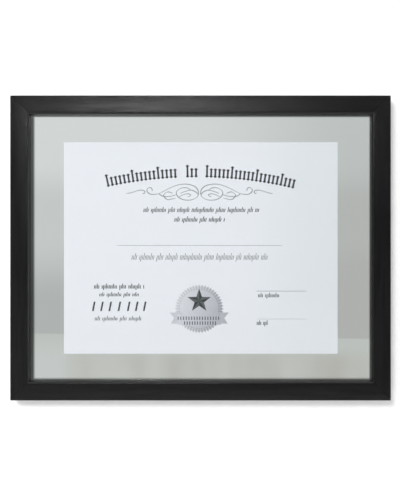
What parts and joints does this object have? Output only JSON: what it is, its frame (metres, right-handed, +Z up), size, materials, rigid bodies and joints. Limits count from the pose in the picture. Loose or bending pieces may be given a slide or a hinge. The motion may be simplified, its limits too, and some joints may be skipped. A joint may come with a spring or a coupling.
{
  "type": "certificate frame",
  "caption": "Landscape float frame of satin black wood moulding with mitred corners, its document held between panes of glass, with turn buttons and sawtooth hangers behind.",
  "frame": {"origin": "the middle notch of the landscape sawtooth hanger, on the plane of the wall, where the wall's nail sits", "axes": "+X to the right seen from the front, along the long side; +Y into the wall, so the front faces -Y; +Z up"},
  "size_m": [0.384, 0.0191, 0.3079],
  "materials": {
    "satin_black_wood": "satin",
    "clear_glass": "polished",
    "document_paper": "smooth",
    "zinc_steel": "zinc plated",
    "button_steel": "zinc plated",
    "brassed_steel": "brass washed",
    "blued_steel": "dark",
    "black_rubber": "matt"
  },
  "bodies": {
    "frame": {"top_rail": "satin_black_wood", "bottom_rail": "satin_black_wood", "left_stile": "satin_black_wood", "right_stile": "satin_black_wood", "corner_v_nails": "blued_steel", "front_glass": "clear_glass", "certificate_sheet": "document_paper", "back_glass": "clear_glass", "turn_button_screws": "zinc_steel", "sawtooth_hanger_landscape": "zinc_steel", "sawtooth_hanger_portrait": "zinc_steel", "hanger_nails": "brassed_steel", "wall_bumpers": "black_rubber"},
    "turn_button_top_left": {"turn_button_top_left": "button_steel"},
    "turn_button_top_right": {"turn_button_top_right": "button_steel"},
    "turn_button_right_upper": {"turn_button_right_upper": "button_steel"},
    "turn_button_right_lower": {"turn_button_right_lower": "button_steel"},
    "turn_button_bottom_right": {"turn_button_bottom_right": "button_steel"},
    "turn_button_bottom_left": {"turn_button_bottom_left": "button_steel"},
    "turn_button_left_lower": {"turn_button_left_lower": "button_steel"},
    "turn_button_left_upper": {"turn_button_left_upper": "button_steel"}
  },
  "joints": [
    {"name": "turn_top_left_pivot", "type": "hinge", "parent": "frame", "child": "turn_button_top_left", "pos_m": [-0.096, -0.0035, 0.00075], "axis": [0, 1, 0], "continuous": true},
    {"name": "turn_top_right_pivot", "type": "hinge", "parent": "frame", "child": "turn_button_top_right", "pos_m": [0.096, -0.0035, 0.00075], "axis": [0, 1, 0], "continuous": true},
    {"name": "turn_right_upper_pivot", "type": "hinge", "parent": "frame", "child": "turn_button_right_upper", "pos_m": [0.1831, -0.0035, -0.0673], "axis": [0, 1, 0], "continuous": true},
    {"name": "turn_right_lower_pivot", "type": "hinge", "parent": "frame", "child": "turn_button_right_lower", "pos_m": [0.1831, -0.0035, -0.2212], "axis": [0, 1, 0], "continuous": true},
    {"name": "turn_bottom_right_pivot", "type": "hinge", "parent": "frame", "child": "turn_button_bottom_right", "pos_m": [0.096, -0.0035, -0.28925], "axis": [0, 1, 0], "continuous": true},
    {"name": "turn_bottom_left_pivot", "type": "hinge", "parent": "frame", "child": "turn_button_bottom_left", "pos_m": [-0.096, -0.0035, -0.28925], "axis": [0, 1, 0], "continuous": true},
    {"name": "turn_left_lower_pivot", "type": "hinge", "parent": "frame", "child": "turn_button_left_lower", "pos_m": [-0.1831, -0.0035, -0.2212], "axis": [0, 1, 0], "continuous": true},
    {"name": "turn_left_upper_pivot", "type": "hinge", "parent": "frame", "child": "turn_button_left_upper", "pos_m": [-0.1831, -0.0035, -0.0673], "axis": [0, 1, 0], "continuous": true}
  ]
}
